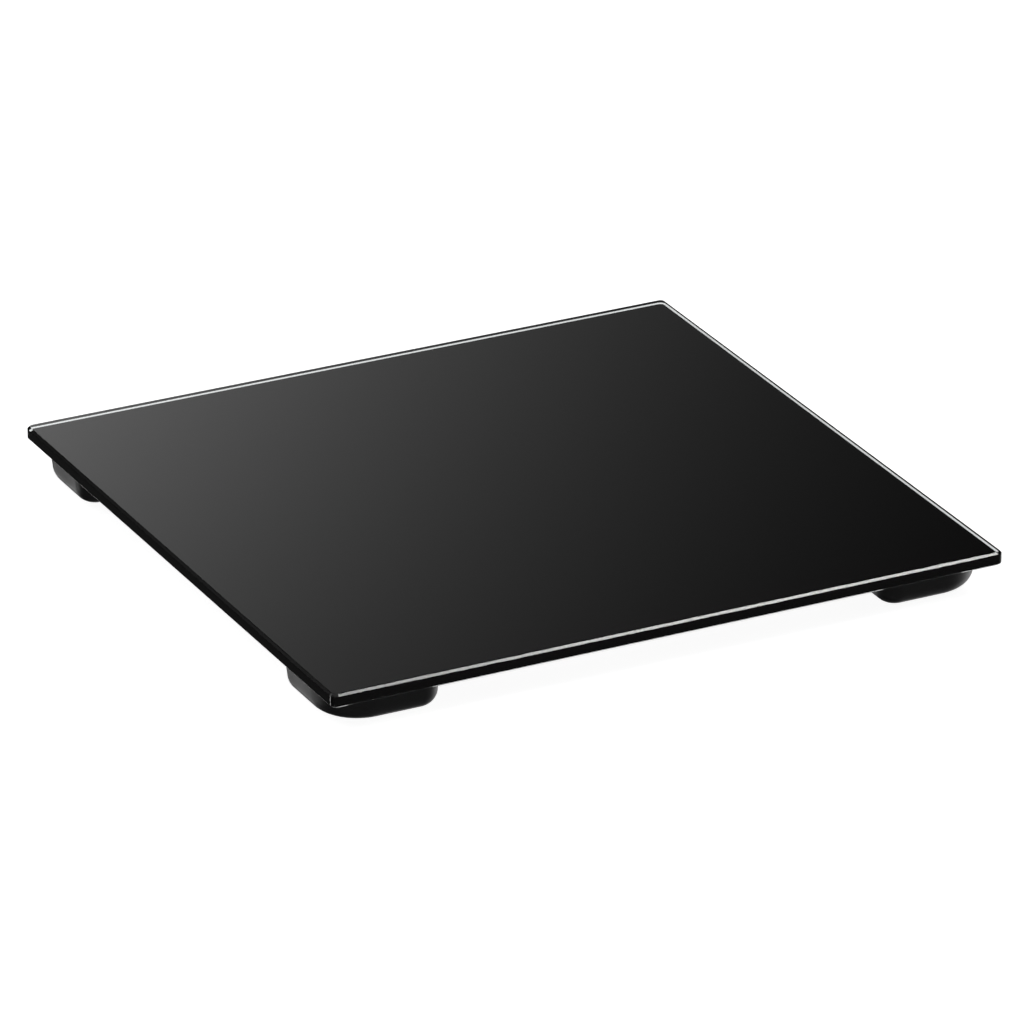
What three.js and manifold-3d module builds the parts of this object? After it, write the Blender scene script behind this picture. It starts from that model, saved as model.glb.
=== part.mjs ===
// A digital bathroom scale: a glass platform bonded to four load-cell feet and an electronics tray.
// Millimetres, +Z up, +X along the front edge, +Y towards the display end.
// The origin is on the floor, under the middle of the platform.
import * as THREE from "three";
import { mergeVertices } from "three/addons/utils/BufferGeometryUtils.js";
import Module from "manifold-3d";

const wasm = await Module();
wasm.setup();

// ---- Driving dimensions ----

// Heights above the floor. Faces that touch share a height on a 0.25 mm grid.
const FLOOR_GAP = 2; // from the floor to the bottom of the fixed housings
const GLASS_BOTTOM = 15;
const GLASS_TOP = 21;
const FILM_BOTTOM = 14.75;
const TAPE_BOTTOM = 14.25;

// Platform
const GLASS_HALF = 155;
const GLASS_CORNER = 3;
const ARRIS = 1;
const FILM_INSET = 1.25;

// Corner foot housings
const FOOT_X = 127; // from the middle of the platform to the middle of each foot
const FOOT_Y = 124;
const FOOT_HALF = 26;
const FOOT_CORNERS = [10, 10, 22, 10]; // the third one points to the platform's corner
const FOOT_WALL = 2.2;
const FOOT_DRAFT = 0.6;
const FOOT_FILLET = 7.5;
const FOOT_DECK = 2;
const FOOT_LIP_INSET = 8.25; // from the outer wall to the edge of the bottom opening
const TAPE_INSET = 2;
const BOSS_RADIUS = 3.5;
const NOTCH_HALF = 2.4; // half the width of the openings that leads pass through
const NOTCH_DROP = 0.25; // from a lead down to the bottom of its notch
const DECK_SLOT_END = 23; // where the slot for the lead stops in the housing's deck

// Moving feet. Insets are from the housing's outer wall.
const FOOT_TRAVEL_GAP = 0.5;
const PLATE_INSET = 9;
const PLATE_WALL = 1.5;
const PLATE_BOTTOM = 1.25;
const PLATE_RECESS = 2;
const PLATE_FLOOR = 3.5;
const PLATE_RIM = 6;
const RIB_X = [-0.75, 0.75];
const RIB_Y = [-1, 0.5];
const RIB_TOP = 5;
const PUSHER_RADIUS = 6;
const CLIP_Y = [-4, 3];
const CLIP_GAP = 0.6; // between each clip and the sides of its slot
const HOOK_REACH = 0.7; // over the tongue
const HOOK_BOTTOM = 10.75;
const HOOK_TOP = 11.5;
const PAD_GAP = 0.4;
const GROOVE_INSETS = [13.5, 17];
const GROOVE_WIDTH = 1.2;
const GROOVE_DEPTH = 0.6;

// Load cells: a steel plate with a tongue that the foot pushes on
const CELL_HALF = 17;
const CELL_CORNER = 3;
const CELL_BOTTOM = 8;
const CELL_TOP = 10.5;
const CELL_PEG = 13.5; // from the middle to each heat-staked peg
const PEG_RADIUS = 1.2;
const PEG_HOLE = 1.5;
const PEG_HEAD_RADIUS = 2.1;
const PEG_HEAD = [7, 7.7];
const SLOT_INNER = 8.7;
const SLOT_OUTER = 11.3;
const SLOT_END = 8;
const SLOT_EYE = 2; // the radius of the round hole at each slot's end
const POTTING_HALF = [6.5, 4];
const POTTING_CORNER = 2.5;
const POTTING_TOP = 11.75;
const POTTING_Y = 11;

// Leads and their raceways
const LEAD_WIDTH = 3.6;
const LEAD_BOTTOM = 13.25;
const LEAD_TOP = 14.25;
const LEAD_BEND = 8;
const LEAD_TIGHT_BEND = 3;
const LEAD_START = 9; // from the foot's middle, on the potting
const LEAD_RISE = 13; // where the lead starts to rise
const LEAD_FOOT = 19; // where it reaches its full height
const LEAD_THICK = 1;
const RACEWAY_BOTTOM = 12.5;
const RACEWAY_FLANGE = 0.75;
const RACEWAY_INNER = 4.4;
const RACEWAY_OUTER = 6.4;
const RACEWAY_WIDTH = 11.5;
const FRONT_LEAD_Y = 60;
const END_GAP = 0.3;
const CONNECTOR_X = 40;
const CONNECTOR_HALF = 3;
const CONNECTOR_Y = [90, 118];
const CONNECTOR_KEY = 1; // how far the key stands out of the connector's side
const CONNECTOR_KEY_INSET = 6;
const CONNECTOR_KEY_TOP = 12.25;

// Electronics tray
const TRAY_HALF_X = 52;
const TRAY_HALF_Y = 47;
const TRAY_Y = 87;
const TRAY_CORNER = 8;
const TRAY_WALL = 1.8;
const TRAY_BOTTOM = 2.5;
const TRAY_FLOOR = 4.25;
const TRAY_FILLET = 1.5;
const FLANGE = 4;
const FLANGE_BOTTOM = 13;
const TRAY_TAPE_INSETS = [0.5, 5]; // from the flange's edge

// Battery bay and door
const BAY_HALF_X = 25;
const BAY_Y = [43.5, 79.5];
const BAY_WALL = 1.5;
const BAY_FRONT = 41;
const RAIL_HALF_X = 31.5;
const RAIL_TOP = 5.5;
const WIRE_SLOT_BOTTOM = 12.75;
const RED_SLOT_Y = [46, 49];
const BLACK_SLOT_Y = [75, 78];
const DOOR_HALF_X = 27.5;
const DOOR_Y = [40.25, 80];
const DOOR_TOP = 4;
const DOOR_TONGUE = 2;
const DOOR_TONGUE_BOTTOM = 3.25;
const DOOR_TONGUE_START = 3;
const DOOR_GAP = 0.5;
const DOOR_GROOVE_GAP = 0.25; // under the door's tongues
const RIDGES = 6;
const RIDGE_START = 6;
const RIDGE_PITCH = 2.5;
const RIDGE_WIDTH = 1;
const RIDGE_HALF_X = 9;
const RIDGE_HEIGHT = 0.5;

// AAA cells and their contacts
const BATTERY_RADIUS = 5.2;
const BATTERY_LENGTH = 44.5;
const BATTERY_CHAMFER = 0.6;
const BATTERY_Z = 9.5;
const BATTERY_ROWS = [50, 61.5, 73];
const NUB_RADIUS = 1.9;
const NUB_HEIGHT = 0.8;
const CONTACT_X = 24.3;
const CONTACT_THICK = 0.4;
const CONTACT_HALF_Y = 4.5; // past the rows that the contact serves
const CONTACT_Z = [5.5, 12.75];
const SPRING_RADII = [3.6, 2.2];
const DIMPLE_RADII = [2.2, 1.6];
const TIP_GAP = 0.3; // from a contact's tip to its cell
const WIRE_RADIUS = 0.6;
const RED_ROUTE = [
  [24.5, 47.5, 13.6], [29, 48, 13.2], [32, 54, 11.4], [32.5, 70, 11], [32, 84, 10.9], [30, 90, 10.5],
];
const BLACK_ROUTE = [
  [-24.5, 76.5, 13.6], [-29, 77, 13.2], [-31, 82, 11.4], [-31, 87, 10.9], [-29, 91, 10.5],
];

// Circuit board and what is on it
const PCB_HALF_X = 45;
const PCB_Y = [86, 129];
const PCB_BOTTOM = 8.25;
const PCB_TOP = 9.75;
const PCB_POSTS = [[-20, 90], [20, 90], [-20, 125.5], [20, 125.5]];
const POST_RADIUS = 3;
const POST_HOLE = 1.5;
const BOARD_HOLE = 1.6;
const SCREW_RADIUS = 1.2;
const SCREW_HEAD_RADIUS = 2.5;
const SCREW_HEAD_TOP = 11.25;
const SCREW_CROSS = [1.4, 0.3]; // half its length and half its width
const SCREW_CROSS_DEPTH = 0.8;
const SCREW_CROWN = [0.9, 0.6]; // in from the head's edge, and down
const SCREW_POINT = [4.5, 5]; // the heights of the screw's end and of its full width
const DISPLAY_HALF_X = 29;
const DISPLAY_Y = [96, 120];
const DISPLAY_TOP = 14;
const DISPLAY_CORNER = 1;
const DIFFUSER_TOP = 14.5;
const DIFFUSER_INSET = 1;
const CHIP_AT = [0, 105];
const CHIP_HALF = 5;
const CHIP_BOTTOM = 7;
const CHIP_TOP = 8;
const PIN_REACH = 6;
const PIN_HALF = 4;
const PIN_BOTTOM = 7.75;
const BUTTON_AT = [30, 104];
const BUTTON_RADIUS = 4;
const BUTTON_FLANGE = 5.3;
const BUTTON_FLANGE_BOTTOM = 4.5;
const BUTTON_BOTTOM = 1.75;
const BUTTON_TOP = 5.25;
const BUTTON_HOLE_GAP = 0.3;
const BUTTON_TRAVEL_GAP = 0.75;
const SWITCH_HALF = 3;
const SWITCH_BOTTOM = 6.75;
const PLUNGER_RADIUS = 1.6;

// Facets
const CORNER_STEPS = 6;
const FILLET_STEPS = 3;
const ROUND_SIDES = 24;
const SMALL_SIDES = 12;
const SMALL_RADIUS = 4; // a round thinner than this takes SMALL_SIDES
const BEND_STEPS = 6;
const WIRE_STEPS = 12;
const LEAST_RADIUS = 0.5;
const WIRE_SIDES = 4; // for each half turn
const EDGE = 0.5; // a small chamfer
const SINK = 0.5; // how far a joined solid reaches into the one it joins
const PAST = 5; // how far a cutting block runs past what it cuts

// ---- Solids ----

function solid(geometry) {
  const plain = geometry.clone();
  plain.deleteAttribute("normal");
  plain.deleteAttribute("uv");
  const merged = mergeVertices(plain, 1e-4);
  return new wasm.Manifold(new wasm.Mesh({
    numProp: 3,
    vertProperties: merged.attributes.position.array,
    triVerts: new Uint32Array(merged.index.array),
  }));
}

function geometryOf(manifold) {
  const mesh = manifold.getMesh();
  const geometry = new THREE.BufferGeometry();
  geometry.setAttribute("position", new THREE.BufferAttribute(mesh.vertProperties, 3));
  geometry.setIndex(new THREE.BufferAttribute(mesh.triVerts, 1));
  geometry.computeVertexNormals();
  return geometry;
}

function block(low, high) {
  const [x, y, z] = low.map((value, i) => (value + high[i]) / 2);
  const [width, depth, height] = low.map((value, i) => high[i] - value);
  return solid(new THREE.BoxGeometry(width, depth, height).translate(x, y, z));
}

function post(x, y, radius, bottom, top) {
  const sides = radius < SMALL_RADIUS ? SMALL_SIDES : ROUND_SIDES;
  const geometry = new THREE.CylinderGeometry(radius, radius, top - bottom, sides);
  return solid(geometry.rotateX(Math.PI / 2).translate(x, y, (bottom + top) / 2));
}

// A turned solid about Z, from [radius, height] pairs that start and end on the axis.
function turned(profile) {
  const points = profile.map(([radius, height]) => new THREE.Vector2(radius, height));
  const widest = Math.max(...profile.map(([radius]) => radius));
  const sides = widest < SMALL_RADIUS ? SMALL_SIDES : ROUND_SIDES;
  return new THREE.LatheGeometry(points, sides).rotateX(Math.PI / 2);
}

// A rounded rectangle's points, anticlockwise, from the corner (+,+) on.
function outline(halfX, halfY, corners, inset) {
  return corners.flatMap((corner, quarter) => {
    const radius = Math.max(corner - inset, LEAST_RADIUS);
    const signX = quarter === 0 || quarter === 3 ? 1 : -1;
    const signY = quarter < 2 ? 1 : -1;
    return Array.from({ length: CORNER_STEPS + 1 }, (_, step) => {
      const angle = (quarter + step / CORNER_STEPS) * Math.PI / 2;
      return [
        signX * (halfX - inset - radius) + radius * Math.cos(angle),
        signY * (halfY - inset - radius) + radius * Math.sin(angle),
      ];
    });
  });
}

// A closed skin through rounded rectangles, each an [inset, height], from its upper face to its lower one.
function lofted(halfX, halfY, corners, rings) {
  const count = corners.length * (CORNER_STEPS + 1);
  const positions = rings.flatMap(([inset, height]) =>
    outline(halfX, halfY, corners, inset).flatMap(([x, y]) => [x, y, height]));
  const firstMiddle = rings.length * count;
  positions.push(0, 0, rings[0][1], 0, 0, rings[rings.length - 1][1]);
  const faces = [];
  for (let i = 0; i < count; i++) {
    const next = (i + 1) % count;
    faces.push(firstMiddle, i, next);
    for (let ring = 0; ring < rings.length - 1; ring++) {
      const [a, b] = [ring * count + i, ring * count + next];
      faces.push(a, a + count, b, b, a + count, b + count);
    }
    const last = (rings.length - 1) * count;
    faces.push(firstMiddle + 1, last + next, last + i);
  }
  const geometry = new THREE.BufferGeometry();
  geometry.setAttribute("position", new THREE.Float32BufferAttribute(positions, 3));
  geometry.setIndex(faces);
  return geometry;
}

// The rings of a quarter-round, from the wall at wallInset to the level at height.
function quarterRound(wallInset, radius, height) {
  return Array.from({ length: FILLET_STEPS + 1 }, (_, step) => {
    const angle = (step / FILLET_STEPS) * Math.PI / 2;
    return [wallInset + radius * (1 - Math.cos(angle)), height + radius * (1 - Math.sin(angle))];
  });
}

// A path in plan with its right-angled corners rounded off.
function bent(points, radius) {
  const path = [points[0]];
  for (let i = 1; i < points.length - 1; i++) {
    const before = direction(points[i - 1], points[i]);
    const after = direction(points[i], points[i + 1]);
    const centre = [0, 1].map((k) => points[i][k] + radius * (after[k] - before[k]));
    for (let step = 0; step <= BEND_STEPS; step++) {
      const angle = (step / BEND_STEPS) * Math.PI / 2;
      path.push([0, 1].map((k) =>
        centre[k] + radius * (before[k] * Math.sin(angle) - after[k] * Math.cos(angle))));
    }
  }
  path.push(points[points.length - 1]);
  return path;
}

function direction(from, to) {
  const length = Math.hypot(to[0] - from[0], to[1] - from[1]);
  return [(to[0] - from[0]) / length, (to[1] - from[1]) / length];
}

// A flat strip of one width along a path in plan.
function strip(path, width, bottom, top) {
  const side = (sign) => path.map((point, i) => {
    const [dx, dy] = direction(path[Math.max(i - 1, 0)], path[Math.min(i + 1, path.length - 1)]);
    return new THREE.Vector2(point[0] - sign * dy * width / 2, point[1] + sign * dx * width / 2);
  });
  const shape = new THREE.Shape([...side(1), ...side(-1).reverse()]);
  const geometry = new THREE.ExtrudeGeometry(shape, { depth: top - bottom, bevelEnabled: false });
  return solid(geometry.translate(0, 0, bottom));
}

// ---- Materials ----

function material(color, roughness, metalness = 0) {
  return new THREE.MeshStandardMaterial({ color, roughness, metalness });
}

const glass = material(0x2a3032, 0.03);
const blackFilm = material(0x050505, 0.3);
const blackPlastic = material(0x101011, 0.42);
const rubber = material(0x161616, 0.9);
const foamTape = material(0x232323, 0.95);
const steel = material(0xa8aaac, 0.4, 1);
const silicone = material(0xe6e6e0, 0.5);
const leadJacket = material(0x1b1b1c, 0.55);
const boardGreen = material(0x0f4a2a, 0.45);
const chipBlack = material(0x151515, 0.6);
const displayBlack = material(0x0c0c0c, 0.3);
const diffuserWhite = material(0xd8d8d4, 0.5);
const batteryWrap = material(0x2e5f86, 0.35);
const nickel = material(0xc9c6be, 0.25, 1);
const buttonGrey = material(0x6c6e70, 0.5);
const connectorWhite = material(0xe4dfd0, 0.5);
const wireRed = material(0xa41414, 0.45);
const wireBlack = material(0x121212, 0.45);

function part(name, shape, look) {
  const mesh = new THREE.Mesh(shape.isBufferGeometry ? shape : geometryOf(shape), look);
  mesh.name = name;
  return mesh;
}

// ---- Platform ----

function glassPlatform() {
  const corners = Array(4).fill(GLASS_CORNER);
  return lofted(GLASS_HALF, GLASS_HALF, corners, [
    [ARRIS, GLASS_TOP],
    [0, GLASS_TOP - ARRIS],
    [0, GLASS_BOTTOM + ARRIS],
    [ARRIS, GLASS_BOTTOM],
  ]);
}

function backFilm() {
  const corners = Array(4).fill(GLASS_CORNER);
  return lofted(GLASS_HALF, GLASS_HALF, corners, [
    [FILM_INSET, GLASS_BOTTOM],
    [FILM_INSET, FILM_BOTTOM],
  ]);
}

// ---- Feet, each in its own frame: the platform's corner is towards (-,-) and the lead leaves along +Y ----

function footSkin(rings) {
  return lofted(FOOT_HALF, FOOT_HALF, FOOT_CORNERS, rings);
}

function footTape() {
  return footSkin([[TAPE_INSET, FILM_BOTTOM], [TAPE_INSET, TAPE_BOTTOM]]);
}

function footHousing() {
  const deckBottom = TAPE_BOTTOM - FOOT_DECK;
  const innerFillet = FOOT_FILLET - FOOT_WALL;
  let shape = solid(footSkin([
    [0, TAPE_BOTTOM],
    ...quarterRound(FOOT_DRAFT, FOOT_FILLET, FLOOR_GAP),
    [FOOT_LIP_INSET, FLOOR_GAP],
    [FOOT_LIP_INSET, FLOOR_GAP + FOOT_WALL],
    ...quarterRound(FOOT_DRAFT + FOOT_WALL, innerFillet, FLOOR_GAP + FOOT_WALL).reverse(),
    [FOOT_WALL, deckBottom],
  ]));
  for (const x of [-CELL_PEG, CELL_PEG])
    for (const y of [-CELL_PEG, CELL_PEG]) shape = shape.add(cellPeg(x, y, deckBottom));
  return shape
    .subtract(leadOpening(SLOT_END, DECK_SLOT_END, deckBottom - 1))
    .subtract(leadOpening(FOOT_HALF - PAST, FOOT_HALF + PAST, LEAD_BOTTOM - NOTCH_DROP));
}

function leadOpening(near, far, bottom) {
  return block([-NOTCH_HALF, near, bottom], [NOTCH_HALF, far, TAPE_BOTTOM + 1]);
}

// A boss that the load cell rests on, and its peg, whose end is flattened under the cell.
function cellPeg(x, y, deckBottom) {
  const boss = post(x, y, BOSS_RADIUS, CELL_TOP, deckBottom + SINK);
  const peg = post(x, y, PEG_RADIUS, PEG_HEAD[0] + SINK, CELL_TOP + SINK);
  return boss.add(peg).add(post(x, y, PEG_HEAD_RADIUS, ...PEG_HEAD));
}

function loadCell() {
  const corners = Array(4).fill(CELL_CORNER);
  const [bottom, top] = [CELL_BOTTOM - 1, CELL_TOP + 1];
  const slotMiddle = (SLOT_INNER + SLOT_OUTER) / 2;
  let shape = solid(lofted(CELL_HALF, CELL_HALF, corners, [[0, CELL_TOP], [0, CELL_BOTTOM]]));
  for (const sign of [-1, 1]) {
    const [low, high] = sign > 0 ? [SLOT_INNER, SLOT_OUTER] : [-SLOT_OUTER, -SLOT_INNER];
    shape = shape
      .subtract(block([low, -slotMiddle, bottom], [high, SLOT_END, top]))
      .subtract(post(sign * slotMiddle, SLOT_END, SLOT_EYE, bottom, top))
      .subtract(post(sign * CELL_PEG, -CELL_PEG, PEG_HOLE, bottom, top))
      .subtract(post(sign * CELL_PEG, CELL_PEG, PEG_HOLE, bottom, top));
  }
  return shape.subtract(block([-SLOT_OUTER, -SLOT_OUTER, bottom], [SLOT_OUTER, -SLOT_INNER, top]));
}

function gaugePotting() {
  const rings = [[1, POTTING_TOP], [0.3, POTTING_TOP - EDGE], [0, CELL_TOP]];
  return lofted(...POTTING_HALF, Array(4).fill(POTTING_CORNER), rings).translate(0, POTTING_Y, 0);
}

function footPlate() {
  const rimInner = PLATE_INSET + PLATE_WALL;
  const bottom = PLATE_RECESS + SINK;
  let shape = solid(footSkin([
    [rimInner, PLATE_FLOOR],
    [rimInner, PLATE_RIM],
    [PLATE_INSET, PLATE_RIM],
    [PLATE_INSET, PLATE_BOTTOM + EDGE],
    [PLATE_INSET + EDGE, PLATE_BOTTOM],
    [rimInner, PLATE_BOTTOM],
    [rimInner, PLATE_RECESS],
  ]));
  const reach = FOOT_HALF - PLATE_INSET - 1;
  shape = shape
    .add(block([-reach, RIB_Y[0], bottom], [reach, RIB_Y[1], RIB_TOP]))
    .add(block([RIB_X[0], -reach, bottom], [RIB_X[1], reach, RIB_TOP]))
    .add(post(0, (RIB_Y[0] + RIB_Y[1]) / 2, PUSHER_RADIUS, bottom, CELL_BOTTOM - FOOT_TRAVEL_GAP));
  for (const side of [-1, 1]) shape = shape.add(tongueClip(side, bottom));
  return shape;
}

// A clip that runs up through the cell's slot and hooks over the edge of its tongue.
function tongueClip(side, bottom) {
  const [low, high] = [SLOT_INNER + CLIP_GAP, SLOT_OUTER - CLIP_GAP];
  const hookInner = SLOT_INNER - HOOK_REACH;
  const [stemLow, stemHigh] = side > 0 ? [low, high] : [-high, -low];
  const [hookLow, hookHigh] = side > 0 ? [hookInner, high] : [-high, -hookInner];
  const stem = block([stemLow, CLIP_Y[0], bottom], [stemHigh, CLIP_Y[1], HOOK_TOP]);
  return stem.add(block([hookLow, CLIP_Y[0], HOOK_BOTTOM], [hookHigh, CLIP_Y[1], HOOK_TOP]));
}

function rubberPad() {
  const inset = PLATE_INSET + PLATE_WALL + PAD_GAP;
  let shape = solid(footSkin([[inset, PLATE_RECESS], [inset, EDGE], [inset + EDGE, 0]]));
  for (const start of GROOVE_INSETS) {
    const outer = solid(footSkin([[start, GROOVE_DEPTH], [start, -1]]));
    const inner = solid(footSkin([[start + GROOVE_WIDTH, GROOVE_DEPTH + 1], [start + GROOVE_WIDTH, -2]]));
    shape = shape.subtract(outer.subtract(inner));
  }
  return shape;
}

// The lead's first stretch, up from the gauge's potting to the level of the raceway.
function leadTail() {
  const points = [
    [LEAD_START, POTTING_TOP],
    [LEAD_RISE, POTTING_TOP],
    [LEAD_FOOT, LEAD_BOTTOM],
    [LEAD_FOOT + 1, LEAD_BOTTOM],
    [LEAD_FOOT + 1, LEAD_TOP],
    [LEAD_FOOT - EDGE, LEAD_TOP],
    [LEAD_RISE - EDGE, POTTING_TOP + LEAD_THICK],
    [LEAD_START, POTTING_TOP + LEAD_THICK],
  ];
  const shape = new THREE.Shape(points.map(([y, z]) => new THREE.Vector2(y, z)));
  const geometry = new THREE.ExtrudeGeometry(shape, { depth: LEAD_WIDTH, bevelEnabled: false });
  return geometry.rotateX(Math.PI / 2).rotateZ(Math.PI / 2).translate(-LEAD_WIDTH / 2, 0, 0);
}

function foot(name) {
  const group = new THREE.Group();
  group.add(
    part(name + "_bond_tape", footTape(), foamTape),
    part(name + "_foot_housing", footHousing(), blackPlastic),
    part(name + "_load_cell", loadCell(), steel),
    part(name + "_gauge_potting", gaugePotting(), silicone),
    part(name + "_foot_plate", footPlate(), blackPlastic),
    part(name + "_rubber_pad", rubberPad(), rubber),
  );
  return group;
}

// ---- Leads and raceways, for the left side ----

function raceway(path) {
  return strip(path, RACEWAY_WIDTH, FILM_BOTTOM - RACEWAY_FLANGE, FILM_BOTTOM)
    .add(strip(path, RACEWAY_OUTER, RACEWAY_BOTTOM, FILM_BOTTOM))
    .subtract(strip(path, RACEWAY_INNER, LEAD_BOTTOM, FILM_BOTTOM + 1));
}

function side(name, mirror) {
  const group = new THREE.Group();
  group.scale.x = mirror;
  const wall = FOOT_HALF + END_GAP;
  const tray = TRAY_HALF_X + FLANGE + END_GAP;

  const front = foot("front_" + name);
  front.position.set(-FOOT_X, -FOOT_Y, 0);
  const back = foot("back_" + name);
  back.position.set(-FOOT_X, FOOT_Y, 0);
  back.rotation.z = -Math.PI / 2;

  const frontPath = bent([
    [-FOOT_X, LEAD_FOOT - FOOT_Y],
    [-FOOT_X, FRONT_LEAD_Y],
    [-CONNECTOR_X, FRONT_LEAD_Y],
    [-CONNECTOR_X, CONNECTOR_Y[0] - END_GAP],
  ], LEAD_BEND);
  const backPath = bent([
    [LEAD_FOOT - FOOT_X, FOOT_Y],
    [-CONNECTOR_X, FOOT_Y],
    [-CONNECTOR_X, CONNECTOR_Y[1] + END_GAP],
  ], LEAD_TIGHT_BEND);
  const frontRaceway = bent([
    [-FOOT_X, wall - FOOT_Y],
    [-FOOT_X, FRONT_LEAD_Y],
    [-tray, FRONT_LEAD_Y],
  ], LEAD_BEND);
  const frontTail = leadTail().translate(-FOOT_X, -FOOT_Y, 0);
  const backTail = leadTail().rotateZ(-Math.PI / 2).translate(-FOOT_X, FOOT_Y, 0);

  group.add(
    front,
    back,
    part("front_" + name + "_lead", lead(frontPath, frontTail), leadJacket),
    part("back_" + name + "_lead", lead(backPath, backTail), leadJacket),
    part("front_" + name + "_raceway", raceway(frontRaceway), blackPlastic),
    part("back_" + name + "_raceway", raceway([[wall - FOOT_X, FOOT_Y], [-tray, FOOT_Y]]), blackPlastic),
    part(name + "_lead_connector", leadConnector(), connectorWhite),
  );
  return group;
}

function lead(path, tail) {
  return strip(path, LEAD_WIDTH, LEAD_BOTTOM, LEAD_TOP).add(solid(tail));
}

function leadConnector() {
  const [near, far] = CONNECTOR_Y;
  const inner = CONNECTOR_HALF - CONNECTOR_X;
  const body = block([-CONNECTOR_X - CONNECTOR_HALF, near, PCB_TOP], [inner, far, LEAD_TOP]);
  const [keyNear, keyFar] = [near + CONNECTOR_KEY_INSET, far - CONNECTOR_KEY_INSET];
  return body.add(block([inner - 1, keyNear, PCB_TOP], [inner + CONNECTOR_KEY, keyFar, CONNECTOR_KEY_TOP]));
}

// ---- Electronics tray ----

function trayTape() {
  const corners = Array(4).fill(TRAY_CORNER + FLANGE);
  const [halfX, halfY] = [TRAY_HALF_X + FLANGE, TRAY_HALF_Y + FLANGE];
  const [edge, hole] = TRAY_TAPE_INSETS;
  const outer = solid(lofted(halfX, halfY, corners, [[edge, FILM_BOTTOM], [edge, TAPE_BOTTOM]]));
  const inner = solid(lofted(halfX, halfY, corners, [[hole, FILM_BOTTOM + 1], [hole, TAPE_BOTTOM - 1]]));
  return geometryOf(outer.subtract(inner)).translate(0, TRAY_Y, 0);
}

function tray() {
  const corners = Array(4).fill(TRAY_CORNER);
  const shell = lofted(TRAY_HALF_X, TRAY_HALF_Y, corners, [
    [TRAY_WALL, TRAY_FLOOR],
    [TRAY_WALL, TAPE_BOTTOM],
    [-FLANGE, TAPE_BOTTOM],
    [-FLANGE, FLANGE_BOTTOM],
    [0, FLANGE_BOTTOM],
    ...quarterRound(0, TRAY_FILLET, TRAY_BOTTOM),
  ]).translate(0, TRAY_Y, 0);
  return solid(shell).add(batteryBay()).add(pcbPosts(POST_RADIUS, PCB_BOTTOM))
    .subtract(doorway()).subtract(pcbPosts(POST_HOLE, PCB_BOTTOM + 1)).subtract(leadNotches())
    .subtract(post(...BUTTON_AT, BUTTON_RADIUS + BUTTON_HOLE_GAP, TRAY_BOTTOM - 1, TRAY_FLOOR + 1));
}

// The walls round the cells, on rails that the door's edges slide under.
function batteryBay() {
  const [near, far] = BAY_Y;
  const outerX = BAY_HALF_X + BAY_WALL;
  const walls = block([-outerX, BAY_FRONT, TRAY_FLOOR], [outerX, far + BAY_WALL, TAPE_BOTTOM])
    .add(block([-RAIL_HALF_X, BAY_FRONT, TRAY_FLOOR - SINK], [RAIL_HALF_X, far + BAY_WALL, RAIL_TOP]));
  return walls.subtract(block([-BAY_HALF_X, near, TRAY_BOTTOM], [BAY_HALF_X, far, TAPE_BOTTOM + 1]))
    .subtract(wireSlot(BAY_HALF_X - 1, outerX + 1, RED_SLOT_Y))
    .subtract(wireSlot(-outerX - 1, 1 - BAY_HALF_X, BLACK_SLOT_Y));
}

function wireSlot(low, high, [near, far]) {
  return block([low, near, WIRE_SLOT_BOTTOM], [high, far, TAPE_BOTTOM + 1]);
}

function doorway() {
  const [near, far] = [TRAY_Y - TRAY_HALF_Y - PAST, DOOR_Y[1] + DOOR_GAP];
  const opening = DOOR_HALF_X + DOOR_GAP;
  const groove = opening + DOOR_TONGUE;
  return block([-opening, near, TRAY_BOTTOM - 1], [opening, far, TRAY_FLOOR])
    .add(block([-groove, near, DOOR_TONGUE_BOTTOM - DOOR_GROOVE_GAP], [groove, far, TRAY_FLOOR]))
    .add(block([-BAY_HALF_X, BAY_Y[0], TRAY_FLOOR - 1], [BAY_HALF_X, BAY_Y[1], RAIL_TOP]));
}

// The posts that the circuit board stands on, or the holes down them.
function pcbPosts(radius, top) {
  return PCB_POSTS.map(([x, y]) => post(x, y, radius, TRAY_FLOOR - SINK, top)).reduce((a, b) => a.add(b));
}

function leadNotches() {
  const [inner, outer] = [TRAY_HALF_X - PAST, TRAY_HALF_X + FLANGE + PAST];
  const notchBottom = LEAD_BOTTOM - NOTCH_DROP;
  const cuts = [];
  for (const y of [FRONT_LEAD_Y, FOOT_Y])
    for (const [low, high] of [[-outer, -inner], [inner, outer]])
      cuts.push(block([low, y - NOTCH_HALF, notchBottom], [high, y + NOTCH_HALF, TAPE_BOTTOM + 1]));
  return cuts.reduce((a, b) => a.add(b));
}

function batteryDoor() {
  const [near, far] = DOOR_Y;
  const tongueX = DOOR_HALF_X + DOOR_TONGUE;
  let door = block([-DOOR_HALF_X, near, TRAY_BOTTOM], [DOOR_HALF_X, far, DOOR_TOP])
    .add(block([-tongueX, near + DOOR_TONGUE_START, DOOR_TONGUE_BOTTOM], [tongueX, far, DOOR_TOP]));
  for (let i = 0; i < RIDGES; i++) {
    const y = near + RIDGE_START + i * RIDGE_PITCH;
    const [bottom, top] = [TRAY_BOTTOM - RIDGE_HEIGHT, TRAY_BOTTOM + SINK];
    door = door.add(block([-RIDGE_HALF_X, y, bottom], [RIDGE_HALF_X, y + RIDGE_WIDTH, top]));
  }
  return door;
}

// ---- Batteries and their contacts ----

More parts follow.
